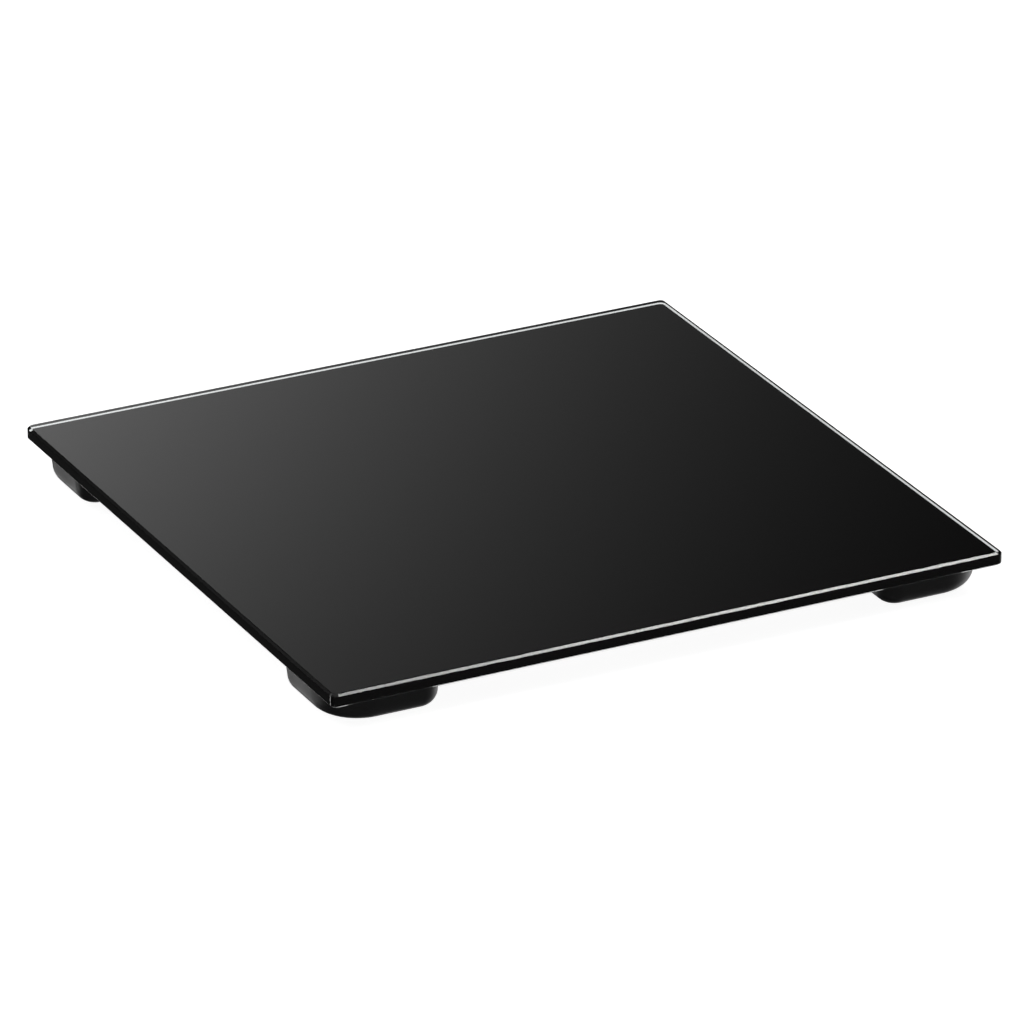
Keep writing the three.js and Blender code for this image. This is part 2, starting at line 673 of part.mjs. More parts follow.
function battery(row) {
  const half = BATTERY_LENGTH / 2;
  const shoulder = half - NUB_HEIGHT;
  const profile = [
    [0, -half],
    [BATTERY_RADIUS - BATTERY_CHAMFER, -half],
    [BATTERY_RADIUS, -half + BATTERY_CHAMFER],
    [BATTERY_RADIUS, shoulder - BATTERY_CHAMFER],
    [BATTERY_RADIUS - BATTERY_CHAMFER, shoulder],
    [NUB_RADIUS, shoulder],
    [NUB_RADIUS, half],
    [0, half],
  ];
  // The middle cell points the other way, so the three are in series.
  const turn = row === 1 ? -Math.PI / 2 : Math.PI / 2;
  return turned(profile).rotateY(turn).translate(0, BATTERY_ROWS[row], BATTERY_Z);
}

// A contact plate on one wall of the bay, with a spring or a dimple at each row that it serves.
function contact(wallSide, rows) {
  const ys = rows.map(({ row }) => BATTERY_ROWS[row]);
  const [low, high] = [Math.min(...ys) - CONTACT_HALF_Y, Math.max(...ys) + CONTACT_HALF_Y];
  const [xa, xb] = [wallSide * CONTACT_X, wallSide * (CONTACT_X + CONTACT_THICK)];
  let shape = block([Math.min(xa, xb), low, CONTACT_Z[0]], [Math.max(xa, xb), high, CONTACT_Z[1]]);
  for (const { row, spring } of rows) shape = shape.add(contactTip(wallSide, BATTERY_ROWS[row], spring));
  return shape;
}

function contactTip(wallSide, y, spring) {
  const gap = CONTACT_X - BATTERY_LENGTH / 2 - TIP_GAP;
  const sink = CONTACT_THICK / 2;
  const [root, tip] = spring ? SPRING_RADII : DIMPLE_RADII;
  const profile = [[0, -sink], [root, -sink], [root, 0], [tip, gap], [0, gap]];
  const geometry = turned(profile).rotateY(-wallSide * Math.PI / 2);
  return solid(geometry.translate(wallSide * CONTACT_X, y, BATTERY_Z));
}

function wire(points) {
  const path = new THREE.CatmullRomCurve3(points.map((point) => new THREE.Vector3(...point)));
  const section = new THREE.Shape().absarc(0, 0, WIRE_RADIUS, 0, 2 * Math.PI);
  const options = { steps: WIRE_STEPS, curveSegments: WIRE_SIDES, extrudePath: path };
  return new THREE.ExtrudeGeometry(section, options);
}

// ---- Circuit board ----

function pcb() {
  let board = block([-PCB_HALF_X, PCB_Y[0], PCB_BOTTOM], [PCB_HALF_X, PCB_Y[1], PCB_TOP]);
  for (const [x, y] of PCB_POSTS)
    board = board.subtract(post(x, y, BOARD_HOLE, PCB_BOTTOM - 1, PCB_TOP + 1));
  return board;
}

function pcbScrew() {
  const [point, full] = SCREW_POINT;
  const [crownIn, crownDown] = SCREW_CROWN;
  const profile = [
    [0, point],
    [SCREW_RADIUS, full],
    [SCREW_RADIUS, PCB_TOP],
    [SCREW_HEAD_RADIUS, PCB_TOP],
    [SCREW_HEAD_RADIUS, SCREW_HEAD_TOP - crownDown],
    [SCREW_HEAD_RADIUS - crownIn, SCREW_HEAD_TOP],
    [0, SCREW_HEAD_TOP],
  ];
  const [long, short] = SCREW_CROSS;
  const [bottom, top] = [SCREW_HEAD_TOP - SCREW_CROSS_DEPTH, SCREW_HEAD_TOP + 1];
  return solid(turned(profile))
    .subtract(block([-long, -short, bottom], [long, short, top]))
    .subtract(block([-short, -long, bottom], [short, long, top]));
}

// A rounded block on the display's place.
function displayBlock(inset, rings) {
  const [near, far] = DISPLAY_Y;
  const [halfX, halfY] = [DISPLAY_HALF_X - inset, (far - near) / 2 - inset];
  const shape = lofted(halfX, halfY, Array(4).fill(DISPLAY_CORNER), rings);
  return shape.translate(0, (near + far) / 2, 0);
}

function displayModule() {
  return displayBlock(0, [[EDGE, DISPLAY_TOP], [0, DISPLAY_TOP - EDGE], [0, PCB_TOP]]);
}

function displayDiffuser() {
  return displayBlock(DIFFUSER_INSET, [[0, DIFFUSER_TOP], [0, DISPLAY_TOP]]);
}

// A block round the middle of the chip.
function chipBlock(halfX, halfY, bottom, top) {
  const [x, y] = CHIP_AT;
  return block([x - halfX, y - halfY, bottom], [x + halfX, y + halfY, top]);
}

function mcuChip() {
  return chipBlock(CHIP_HALF, CHIP_HALF, CHIP_BOTTOM, CHIP_TOP)
    .add(chipBlock(PIN_REACH, PIN_HALF, PIN_BOTTOM, PCB_BOTTOM))
    .add(chipBlock(PIN_HALF, PIN_REACH, PIN_BOTTOM, PCB_BOTTOM));
}

function tactSwitch() {
  const [x, y] = BUTTON_AT;
  const low = [x - SWITCH_HALF, y - SWITCH_HALF, SWITCH_BOTTOM];
  const high = [x + SWITCH_HALF, y + SWITCH_HALF, PCB_BOTTOM];
  const plunger = post(x, y, PLUNGER_RADIUS, BUTTON_TOP + BUTTON_TRAVEL_GAP, SWITCH_BOTTOM + SINK);
  return block(low, high).add(plunger);
}

function unitButton() {
  const profile = [
    [0, BUTTON_BOTTOM],
    [BUTTON_RADIUS - EDGE, BUTTON_BOTTOM],
    [BUTTON_RADIUS, BUTTON_BOTTOM + EDGE],
    [BUTTON_RADIUS, BUTTON_FLANGE_BOTTOM],
    [BUTTON_FLANGE, BUTTON_FLANGE_BOTTOM],
    [BUTTON_FLANGE, BUTTON_TOP],
    [0, BUTTON_TOP],
  ];
  return turned(profile).translate(...BUTTON_AT, 0);
}

function electronics() {
  const group = new THREE.Group();
  group.add(
    part("electronics_tray", tray(), blackPlastic),
    part("tray_bond_tape", trayTape(), foamTape),
    part("battery_door", batteryDoor(), blackPlastic),
    part("pcb", pcb(), boardGreen),
    part("mcu_chip", mcuChip(), chipBlack),
    part("display_module", displayModule(), displayBlack),
    part("display_diffuser", displayDiffuser(), diffuserWhite),
    part("tact_switch", tactSwitch(), nickel),
    part("unit_button", unitButton(), buttonGrey),
    part("contact_positive", contact(1, [{ row: 0, spring: false }]), nickel),
    part("contact_bridge_left", contact(-1, [{ row: 0, spring: true }, { row: 1, spring: false }]), nickel),
    part("contact_bridge_right", contact(1, [{ row: 1, spring: true }, { row: 2, spring: false }]), nickel),
    part("contact_negative", contact(-1, [{ row: 2, spring: true }]), nickel),
    part("battery_wire_red", wire(RED_ROUTE), wireRed),
    part("battery_wire_black", wire(BLACK_ROUTE), wireBlack),
  );
  for (let row = 0; row < BATTERY_ROWS.length; row++)
    group.add(part("aaa_battery_" + (row + 1), battery(row), batteryWrap));
  for (const [name, at] of [["left", PCB_POSTS[0]], ["right", PCB_POSTS[3]]])
    group.add(part("pcb_screw_" + name, geometryOf(pcbScrew()).translate(...at, 0), steel));
  return group;
}

const scale = new THREE.Group();
scale.add(
  part("glass_platform", glassPlatform(), glass),
  part("back_film", backFilm(), blackFilm),
  side("left", 1),
  side("right", -1),
  electronics(),
);

export default scale;
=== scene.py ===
"""The looks of a digital bathroom scale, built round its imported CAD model.

The mesh helpers and the constants whose names end in _MM are in millimetres, and Blender's own lengths are
in metres.
"""

import math

import bmesh
import bpy
from mathutils import Matrix, Quaternion, Vector

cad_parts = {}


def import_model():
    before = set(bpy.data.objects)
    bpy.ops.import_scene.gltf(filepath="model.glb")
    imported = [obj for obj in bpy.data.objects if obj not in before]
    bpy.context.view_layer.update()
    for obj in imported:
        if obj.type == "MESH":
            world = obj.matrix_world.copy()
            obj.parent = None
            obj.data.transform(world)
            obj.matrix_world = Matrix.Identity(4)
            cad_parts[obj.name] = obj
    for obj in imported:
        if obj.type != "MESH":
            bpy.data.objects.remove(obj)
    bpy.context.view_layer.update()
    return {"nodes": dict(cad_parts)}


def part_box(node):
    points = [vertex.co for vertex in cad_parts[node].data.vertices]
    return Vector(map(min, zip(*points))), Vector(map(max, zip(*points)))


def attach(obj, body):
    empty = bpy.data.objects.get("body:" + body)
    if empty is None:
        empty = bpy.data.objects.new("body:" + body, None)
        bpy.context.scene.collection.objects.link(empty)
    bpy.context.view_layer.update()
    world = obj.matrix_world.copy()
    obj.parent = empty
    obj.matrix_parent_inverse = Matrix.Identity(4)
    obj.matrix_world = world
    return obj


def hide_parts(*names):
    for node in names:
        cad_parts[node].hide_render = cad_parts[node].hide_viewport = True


MM = 0.001

# ---- Glass and film ----

GLASS_CORNER_MM = 3.0
ARRIS_MM = 1.0
LOWER_ARRIS_MM = 0.75  # the lower one is a little flatter
ARRIS_ROUND_MM = 0.12
PRINT_RING_MM = 0.05
DOWNWARD = -0.99  # a face whose normal's Z is below this faces down
FILM_INSET_MM = 1.25
FILM_GAP_MM = 0.02  # keeps the film's faces off the glass's
FILM_BREAK_MM = 0.05

# ---- Foot housing ----

FOOT_CORNER_MM = 10.0
FOOT_OUTER_CORNER_MM = 22.0
FOOT_WALL_MM = 2.2
FOOT_DECK_MM = 2.0
FOOT_DRAFT_MM = 0.6
FOOT_FILLET_MM = 7.5
FOOT_LIP_INSET_MM = 8.25
TOP_BREAK_MM = 0.3
TOP_BREAK_MIDDLE_MM = 0.08
LIP_BREAK_MM = 0.25
LIP_BREAK_MIDDLE_MM = 0.07
CELL_PEG_MM = 13.5  # the load cell's four pegs are this far from the middle, along X and Y
BOSS_RADIUS_MM = 3.5
BOSS_BOTTOM_MM = 10.5
PEG_RADIUS_MM = 1.2
PEG_BOTTOM_MM = 7.5
PEG_HEAD_RADIUS_MM = 2.1
PEG_HEAD_BOTTOM_MM = 7.0
PEG_HEAD_TOP_MM = 7.7
LEAD_NOTCH_MM = 2.4  # half the width of the lead's way out
CHANNEL_Y_MM = (8, 23)
NOTCH_Y_MM = (21, 31)
NOTCH_BOTTOM_MM = 13.0

# ---- Foot plate and rubber pad ----

PLATE_INSET_MM = 9.0
PLATE_WALL_MM = 1.5
PLATE_FLOOR_TOP_MM = 3.5
PLATE_RIM_MM = 6.0
PLATE_ROUND_MM = 0.5
PLATE_BREAK_MM = 0.1
PLATE_SEAT_MM = 0.75
PLATE_RECESS_MM = 2.0
RIB_WIDTH_MM = 1.5
RIB_DROP_MM = 1.0
RIB_END_MM = 1.0
TONGUE_Y_MM = -0.25  # where the load cell's tongue bears on the plate
PLATE_BOSS_RADIUS_MM = 6.0
PLATE_BOSS_TOP_MM = 7.5
CLIP_X_MM = (9.3, 10.7)
CLIP_Y_MM = (-4, 3)
CLIP_TOP_MM = 11.5
HOOK_INNER_MM = 8.0
HOOK_BOTTOM_MM = 10.75
PAD_INSET_MM = 10.9
PAD_ROUND_MM = 0.5
PAD_TREAD_MM = 0.6
GROOVES_MM = (13.5, 17.0)
GROOVE_WIDTH_MM = 1.2
GROOVE_DEPTH_MM = 0.6
GROOVE_DRAFT_MM = 0.2
GROOVE_ROUND_MM = 0.15

# ---- Small pieces ----

BEAD_CORNER_MM = 2.5
BEAD_CROWN = 0.5  # the share of its half width where the bead's dome starts
KEY_FLANGE_MM = 1.3  # how far the flange stands out from the stem
KEY_FLANGE_THICK_MM = 0.75
KEY_BREAK_MM = 0.15
KEY_NECK_MM = 0.1
KEY_ROUND_MM = 0.4
KEY_ROUND_MIDDLE_MM = 0.12
KEY_DIMPLE_MM = ((2.4, 0.0), (1.8, 0.1), (1.0, 0.22), (0.0, 0.26))  # radius and depth
BATTERY_RADIUS_MM = 5.2
BATTERY_SHOULDER_MM = 0.8  # the shoulder is this far below the tip
# Radius and height above the shoulder.
BATTERY_NUB_MM = ((0.0, 0.8), (1.5, 0.8), (1.8, 0.7), (1.9, 0.45), (1.9, 0.0))
BATTERY_ROLL_MM = ((3.6, 0.0), (4.0, 0.05), (4.7, -0.05), (5.08, -0.25), (5.2, -0.7))
# Radius and height above the base.
BATTERY_BASE_MM = ((5.2, 0.6), (5.05, 0.2), (4.65, 0.03), (4.2, 0.0), (3.8, 0.12), (0.0, 0.12))
BATTERY_METAL_MM = 3.9  # the ends are bare metal within this radius
BATTERY_BAND = 0.3  # where the copper band starts, as a share of the half length
BATTERY_BAND_STEP_MM = 0.02
CELL_END_MM = 22.25
CELL_AXIS_MM = 9.5
CELL_ROWS_MM = (50, 61.5, 73)
CONTACT_FACE_MM = 24.3
CONTACT_THICK_MM = 0.4
CONTACT_EDGE_MM = 0.12
CONTACT_CLEAR_MM = 0.3
CONTACT_REACH_MM = CONTACT_FACE_MM - CELL_END_MM - CONTACT_CLEAR_MM
COIL_TURNS = 3.25
COIL_STEPS = 60
COIL_RADIUS_MM = 3.3
COIL_TAPER_MM = 1.3
COIL_SEAT_MM = 0.25
COIL_WIRE_MM = 0.24
DIMPLE_CROWN_MM = ((0.0, 0.0), (0.9, 0.06), (1.5, 0.3), (1.9, 0.9))  # radius and depth below the crown
DIMPLE_FOOT_MM = ((2.2, 0.1), (2.3, -0.1), (0.0, -0.1))  # radius and height above the strip
WIRE_RADIUS_MM = 0.6

RED_ROUTE_MM = (
    (24.5, 47.5, 13.6), (29, 48, 13.2), (32, 54, 11.4), (32.5, 70, 11), (32, 84, 10.9), (30, 90, 10.5),
)
BLACK_ROUTE_MM = (
    (-24.5, 76.5, 13.6), (-29, 77, 13.2), (-31, 82, 11.4), (-31, 87, 10.9), (-29, 91, 10.5),
)

# ---- Shared by the pieces ----

EDGE_MM = 0.2
FACE_RING_MM = 1.0  # how far a flat face's first ring is from its edge
JOIN_MM = 0.5  # how far a joined piece reaches into the other
CUT_MM = 1.0  # how far a cut reaches past the face
CORNER_STEPS = 20
FILLET_STEPS = 10
SMALL_STEPS = 5
BEAD_DOME_STEPS = 8
BEAD_CORNER_STEPS = 10
PAD_GROOVE_STEPS = 2
LEAST_CORNER_MM = 0.2
CORNER_REACH = 0.45  # the most of a side that a rounded corner takes
WIRE_RESOLUTION = 5
POST_SIDES = 32
SMOOTH_ANGLE = math.radians(32)
CAD_SMOOTH_ANGLE = math.radians(30)
EDGE_ANGLE = math.radians(40)
EDGE_SEGMENTS = 2
FLAT_FACE_WEIGHT = 90

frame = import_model()


def box_mm(node):
    """A CAD node's lowest and highest corners, in millimetres."""
    low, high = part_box(node)
    return low / MM, high / MM


def plan(low, high):
    """A box's middle and half sizes, seen from above."""
    centre = ((low.x + high.x) / 2, (low.y + high.y) / 2)
    half = ((high.x - low.x) / 2, (high.y - low.y) / 2)
    return centre, half


# ---- Mesh helpers ----


def outline(half_x, half_y, corners, inset, steps):
    """A rounded rectangle's points, anticlockwise from the corner (+, +)."""
    points = []
    for quarter, corner in enumerate(corners):
        radius = max(corner - inset, LEAST_CORNER_MM)
        sign_x = 1 if quarter in (0, 3) else -1
        sign_y = 1 if quarter < 2 else -1
        for step in range(steps + 1):
            angle = (quarter + step / steps) * math.pi / 2
            x = sign_x * (half_x - inset - radius) + radius * math.cos(angle)
            y = sign_y * (half_y - inset - radius) + radius * math.sin(angle)
            points.append((x, y))
    return points


def object_from(name, bm):
    mesh = bpy.data.meshes.new(name)
    bm.to_mesh(mesh)
    bm.free()
    piece = bpy.data.objects.new(name, mesh)
    bpy.context.scene.collection.objects.link(piece)
    return piece


def loft(name, centre, half, corners, rings, steps=CORNER_STEPS):
    """A closed skin through rounded rectangles, each an (inset, height), from the top down."""
    bm = bmesh.new()
    rows = []
    for inset, height in rings:
        row = []
        for x, y in outline(half[0], half[1], corners, inset, steps):
            row.append(bm.verts.new(Vector((centre[0] + x, centre[1] + y, height)) * MM))
        rows.append(row)
    count = len(rows[0])
    for upper, lower in zip(rows, rows[1:]):
        for i in range(count):
            j = (i + 1) % count
            bm.faces.new((upper[i], lower[i], lower[j], upper[j]))
    bm.faces.new(rows[0])
    bm.faces.new(reversed(rows[-1]))
    return object_from(name, bm)


def arc_rings(start, end, centre, steps=FILLET_STEPS):
    """(inset, height) pairs on the quarter ellipse from start to end round centre."""
    rings = []
    for step in range(steps + 1):
        angle = step / steps * math.pi / 2
        near = math.cos(angle)
        far = math.sin(angle)
        inset = centre[0] + (start[0] - centre[0]) * near + (end[0] - centre[0]) * far
        height = centre[1] + (start[1] - centre[1]) * near + (end[1] - centre[1]) * far
        rings.append((inset, height))
    return rings


def rounded_profile(points, radius, steps=3):
    """A profile of (inset, height) points, with each corner but the ends rounded by radius."""
    rings = [points[0]]
    for before, corner, after in zip(points, points[1:], points[2:]):
        here = Vector(corner)
        back = Vector(before) - here
        ahead = Vector(after) - here
        reach = min(radius, back.length * CORNER_REACH, ahead.length * CORNER_REACH)
        start = here + back.normalized() * reach
        end = here + ahead.normalized() * reach
        for step in range(steps + 1):
            t = step / steps
            rings.append(tuple((1 - t) ** 2 * start + 2 * t * (1 - t) * here + t * t * end))
    rings.append(points[-1])
    return rings


def cuboid(name, low, high):
    bm = bmesh.new()
    bmesh.ops.create_cube(bm, size=1)
    middle = (Vector(low) + Vector(high)) / 2
    size = Vector(high) - Vector(low)
    for vert in bm.verts:
        vert.co = Vector(vert.co[i] * size[i] + middle[i] for i in range(3)) * MM
    return object_from(name, bm)


def turned(name, centre, profile, turn=Matrix.Identity(3), sides=48):
    """A turned piece about turn's Z, from (radius, height) pairs from the top down that end on the axis."""
    bm = bmesh.new()

    def vert(x, y, z):
        return bm.verts.new((Vector(centre) + turn @ Vector((x, y, z))) * MM)

    top = vert(0, 0, profile[0][1])
    bottom = vert(0, 0, profile[-1][1])
    rows = []
    for radius, height in profile[1:-1]:
        angles = [i / sides * 2 * math.pi for i in range(sides)]
        rows.append([vert(radius * math.cos(angle), radius * math.sin(angle), height) for angle in angles])
    for i in range(sides):
        j = (i + 1) % sides
        bm.faces.new((top, rows[0][i], rows[0][j]))
        bm.faces.new((bottom, rows[-1][j], rows[-1][i]))
        for upper, lower in zip(rows, rows[1:]):
            bm.faces.new((upper[i], lower[i], lower[j], upper[j]))
    return object_from(name, bm)


def tube(name, points, radius):
    """A round wire through the points, in millimetres."""
    curve = bpy.data.curves.new(name, "CURVE")
    curve.dimensions = "3D"
    curve.bevel_depth = radius * MM
    curve.bevel_resolution = WIRE_RESOLUTION
    curve.use_fill_caps = True
    spline = curve.splines.new("POLY")
    spline.points.add(len(points) - 1)
    for knot, point in zip(spline.points, points):
        knot.co = (*(Vector(point) * MM), 1)
    piece = bpy.data.objects.new(name, curve)
    bpy.context.scene.collection.objects.link(piece)
    return piece


def through(points, steps=8):
    """Points on a smooth curve through the given ones."""
    knots = [Vector(point) for point in points]
    knots = [2 * knots[0] - knots[1], *knots, 2 * knots[-1] - knots[-2]]
    path = []
    for a, b, c, d in zip(knots, knots[1:], knots[2:], knots[3:]):
        for step in range(steps):
            t = step / steps
            path.append(0.5 * (2 * b + (c - a) * t + (2 * a - 5 * b + 4 * c - d) * t ** 2
                               + (3 * b - a - 3 * c + d) * t ** 3))
    path.append(knots[-2])
    return path


def as_mesh(piece):
    """The curve piece as a mesh piece of the same name."""
    graph = bpy.context.evaluated_depsgraph_get()
    mesh = bpy.data.meshes.new_from_object(piece.evaluated_get(graph))
    name = piece.name
    bpy.data.objects.remove(piece)
    made = bpy.data.objects.new(name, mesh)
    bpy.context.scene.collection.objects.link(made)
    return made


def joined(target, *others):
    """The other pieces' shells, moved into target's mesh."""
    bm = bmesh.new()
    for piece in (target, *others):
        bm.from_mesh(piece.data)
    bm.to_mesh(target.data)
    bm.free()
    for piece in others:
        bpy.data.objects.remove(piece)
    return target


def combine(target, tool, operation):
    """Joins tool to target, or cuts it from target, and takes tool away."""
    modifier = target.modifiers.new("combine", "BOOLEAN")
    modifier.object = tool
    modifier.operation = operation
    modifier.solver = "EXACT"
    graph = bpy.context.evaluated_depsgraph_get()
    result = bpy.data.meshes.new_from_object(target.evaluated_get(graph))
    target.modifiers.clear()
    target.data = result
    bpy.data.objects.remove(tool)
    return target


def soften(piece, edge_mm):
    """Rounds the piece's sharp edges a little."""
    modifier = piece.modifiers.new("edges", "BEVEL")
    modifier.width = edge_mm * MM
    modifier.segments = EDGE_SEGMENTS
    modifier.limit_method = "ANGLE"
    modifier.angle_limit = EDGE_ANGLE
    modifier.use_clamp_overlap = True


def smooth(piece, angle=SMOOTH_ANGLE):
    """Smooth shading whose curve stays on the small faces, so that flat faces look flat."""
    piece.data.shade_smooth()
    piece.data.set_sharp_from_angle(angle=angle)
    weighted = piece.modifiers.new("flat_faces", "WEIGHTED_NORMAL")
    weighted.mode = "FACE_AREA"
    weighted.weight = FLAT_FACE_WEIGHT
    weighted.keep_sharp = True


def coat(piece, *keys):
    """Gives the piece these materials instead of any that it has."""
    piece.data.materials.clear()
    for key in keys:
        piece.data.materials.append(MATERIALS[key])


def place(piece, body, slot, *nodes):
    """Smooths the piece, rides it on its body and hides the CAD nodes that it stands for. The slot is not
    used.
    """
    smooth(piece)
    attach(piece, body)
    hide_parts(*nodes)


# ---- Material helpers ----

NOISE_LOW = 0.3  # a noise is seldom below this
NOISE_HIGH = 0.7


def new_material(name, color, roughness, **sockets):
    """A Principled material. A socket's name has its spaces as underscores."""
    material = bpy.data.materials.new(name)
    material.use_nodes = True
    principled = material.node_tree.nodes["Principled BSDF"]
    principled.inputs["Base Color"].default_value = (*color, 1)
    principled.inputs["Roughness"].default_value = roughness
    for socket, value in sockets.items():
        principled.inputs[socket.replace("_", " ")].default_value = value
    return material


def add_node(material, kind, links=(), **settings):
    """A node of this kind, with (input, source) pairs for links and attributes or inputs for settings."""
    node = material.node_tree.nodes.new(kind)
    for key, value in settings.items():
        if hasattr(node, key):
            setattr(node, key, value)
        else:
            node.inputs[key.replace("_", " ")].default_value = value
    for socket, source in links:
        material.node_tree.links.new(source, node.inputs[socket])
    return node


def position(material):
    return add_node(material, "ShaderNodeTexCoord").outputs["Object"]


def to_principled(material, socket, source):
    principled = material.node_tree.nodes["Principled BSDF"]
    material.node_tree.links.new(source, principled.inputs[socket])


def noise(material, scale, detail=2.0, stretch=(1, 1, 1)):
    where = position(material)
    if stretch != (1, 1, 1):
        where = add_node(material, "ShaderNodeMapping", [("Vector", where)], Scale=stretch).outputs[0]
    node = add_node(material, "ShaderNodeTexNoise", [("Vector", where)], Scale=scale, Detail=detail)
    return node.outputs["Fac"]


def remap(material, source, low, high):
    """Stretches the middle of a noise's range from low to high."""
    node = add_node(material, "ShaderNodeMapRange", [("Value", source)])
    node.inputs["From Min"].default_value = NOISE_LOW
    node.inputs["From Max"].default_value = NOISE_HIGH
    node.inputs["To Min"].default_value = low
    node.inputs["To Max"].default_value = high
    return node.outputs[0]


def mix_colors(material, factor, first, second):
    node = add_node(material, "ShaderNodeMix", [("Factor", factor)], data_type="RGBA")
    first_socket, second_socket = [socket for socket in node.inputs if socket.type == "RGBA"]
    first_socket.default_value = (*first, 1)
    second_socket.default_value = (*second, 1)
    return [socket for socket in node.outputs if socket.type == "RGBA"][0]


def bump(material, height, strength, distance_mm):
    node = add_node(material, "ShaderNodeBump", [("Height", height)], Strength=strength)
    node.inputs["Distance"].default_value = distance_mm * MM
    return node.outputs[0]


# ---- Materials ----

WHITE = (1, 1, 1, 1)
BLACK = (0, 0, 0, 1)
PVC_SHEEN = (0.3, 0.42)
HANDLED = 0.8  # how much colour handling marks leave on bare metal


def clear_glass():
    """Polished clear glass, slightly grey."""
    return new_material("clear_glass", (0.67, 0.69, 0.69), 0.0, IOR=1.52, Transmission_Weight=1.0)


def black_print():
    """The print seen through the glass, in optical contact with it, so it has no gloss of its own."""
    return new_material("black_print", (0.0003, 0.0003, 0.0003), 0.8, Specular_IOR_Level=0.0)


def film_back():
    """The safety film's outer side: black, glossy, with the slight ripple of an adhesive film."""
    material = new_material("film_back", (0.006, 0.006, 0.0065), 0.22)
    ripple = noise(material, scale=140, detail=3)
    to_principled(material, "Normal", bump(material, ripple, strength=0.25, distance_mm=0.15))
    haze = noise(material, scale=60, detail=4)
    to_principled(material, "Roughness", remap(material, haze, low=0.16, high=0.3))
    return material


def moulded_black():
    """Satin ABS with a fine spark-eroded texture and faint flow in its sheen."""
    material = new_material("moulded_black", (0.004, 0.004, 0.0042), 0.39)
    grain = noise(material, scale=5200)
    to_principled(material, "Normal", bump(material, grain, strength=0.18, distance_mm=0.03))
    flow = noise(material, scale=90, detail=5)
    to_principled(material, "Roughness", remap(material, flow, low=0.34, high=0.44))
    return material


def rubber():
    """Matt moulded rubber with a dusty bloom."""
    material = new_material("black_rubber", (0.016, 0.016, 0.016), 0.85, Specular_IOR_Level=0.35)
    bloom = remap(material, noise(material, scale=350, detail=5), low=0, high=1)
    colour = mix_colors(material, bloom, (0.012, 0.012, 0.012), (0.028, 0.028, 0.027))
    to_principled(material, "Base Color", colour)
    grain = noise(material, scale=2600, detail=3)
    to_principled(material, "Normal", bump(material, grain, strength=0.4, distance_mm=0.05))
    return material


def foam():
    """Closed-cell foam tape."""
    material = new_material("foam_tape", (0.02, 0.02, 0.02), 0.95)
    cells = add_node(material, "ShaderNodeTexVoronoi", [("Vector", position(material))], Scale=2600)
    to_principled(material, "Normal", bump(material, cells.outputs[0], strength=0.6, distance_mm=0.1))
    return material


def mottled(name, first, second, rough, scale, grain=2400, **sockets):
    """A moulded material that wanders between two close colours, with a fine grain."""
    material = new_material(name, first, sum(rough) / 2, **sockets)
    cloud = remap(material, noise(material, scale, detail=4), low=0, high=1)
    to_principled(material, "Base Color", mix_colors(material, cloud, first, second))
    to_principled(material, "Roughness", remap(material, noise(material, scale * 2, detail=3), *rough))
    to_principled(material, "Normal", bump(material, noise(material, grain), strength=0.3, distance_mm=0.02))
    return material


def brushed(name, color, rough, stretch=(1, 30, 1)):
    """Bare metal with a grain along one axis and faint handling marks."""
    material = new_material(name, color, sum(rough) / 2, Metallic=1.0)
    grain = noise(material, scale=300, detail=3, stretch=stretch)
    dull = tuple(channel * HANDLED for channel in color)
    marks = remap(material, noise(material, scale=70, detail=4), low=0, high=1)
    to_principled(material, "Base Color", mix_colors(material, marks, color, dull))
    to_principled(material, "Roughness", remap(material, grain, *rough))
    to_principled(material, "Normal", bump(material, grain, strength=0.2, distance_mm=0.01))
    return material


def circuit_board():
    """Green solder mask over a net of copper traces."""
    mask = (0.008, 0.075, 0.028)
    over_copper = (0.02, 0.17, 0.06)
    material = new_material("solder_mask", mask, 0.3, Coat_Weight=0.4)
    net = add_node(material, "ShaderNodeTexBrick", [("Vector", position(material))],
                   Scale=180.0, Mortar_Size=0.07, Brick_Width=0.9, Row_Height=0.35)
    net.inputs["Color1"].default_value = BLACK
    net.inputs["Color2"].default_value = BLACK
    net.inputs["Mortar"].default_value = WHITE
    traces = net.outputs["Color"]
    to_principled(material, "Base Color", mix_colors(material, traces, mask, over_copper))
    to_principled(material, "Normal", bump(material, traces, strength=0.5, distance_mm=0.03))
    haze = noise(material, scale=200, detail=3)
    to_principled(material, "Roughness", remap(material, haze, low=0.22, high=0.38))
    return material


def battery_wrap():
    """A glossy blue shrink sleeve, creased along the cell."""
    material = new_material("battery_wrap", (0.03, 0.09, 0.17), 0.25, Coat_Weight=0.5)
    haze = noise(material, scale=160, detail=4)
    to_principled(material, "Roughness", remap(material, haze, low=0.2, high=0.36))
    creases = noise(material, scale=420, detail=3, stretch=(0.2, 1, 1))
    to_principled(material, "Normal", bump(material, creases, strength=0.2, distance_mm=0.04))
    return material


def cell_steel():
    return brushed("plated_steel", (0.46, 0.46, 0.47), rough=(0.25, 0.42))


def screw_steel():
    return brushed("zinc", (0.5, 0.5, 0.5), rough=(0.22, 0.4), stretch=(1, 1, 6))


def nickel():
    return brushed("sprung_nickel", (0.62, 0.60, 0.56), rough=(0.12, 0.3), stretch=(1, 1, 12))


def silicone():
    return mottled("cured_silicone", (0.74, 0.74, 0.70), (0.66, 0.66, 0.62), rough=(0.3, 0.5), scale=220,
                   Subsurface_Weight=0.2)


def ribbon_jacket():
    return mottled("ribbon_jacket", (0.02, 0.02, 0.021), (0.035, 0.035, 0.036), rough=(0.4, 0.55), scale=300)


def chip_body():
    return mottled("chip_body", (0.014, 0.014, 0.014), (0.022, 0.022, 0.022), rough=(0.45, 0.6), scale=900,
                   grain=6000)


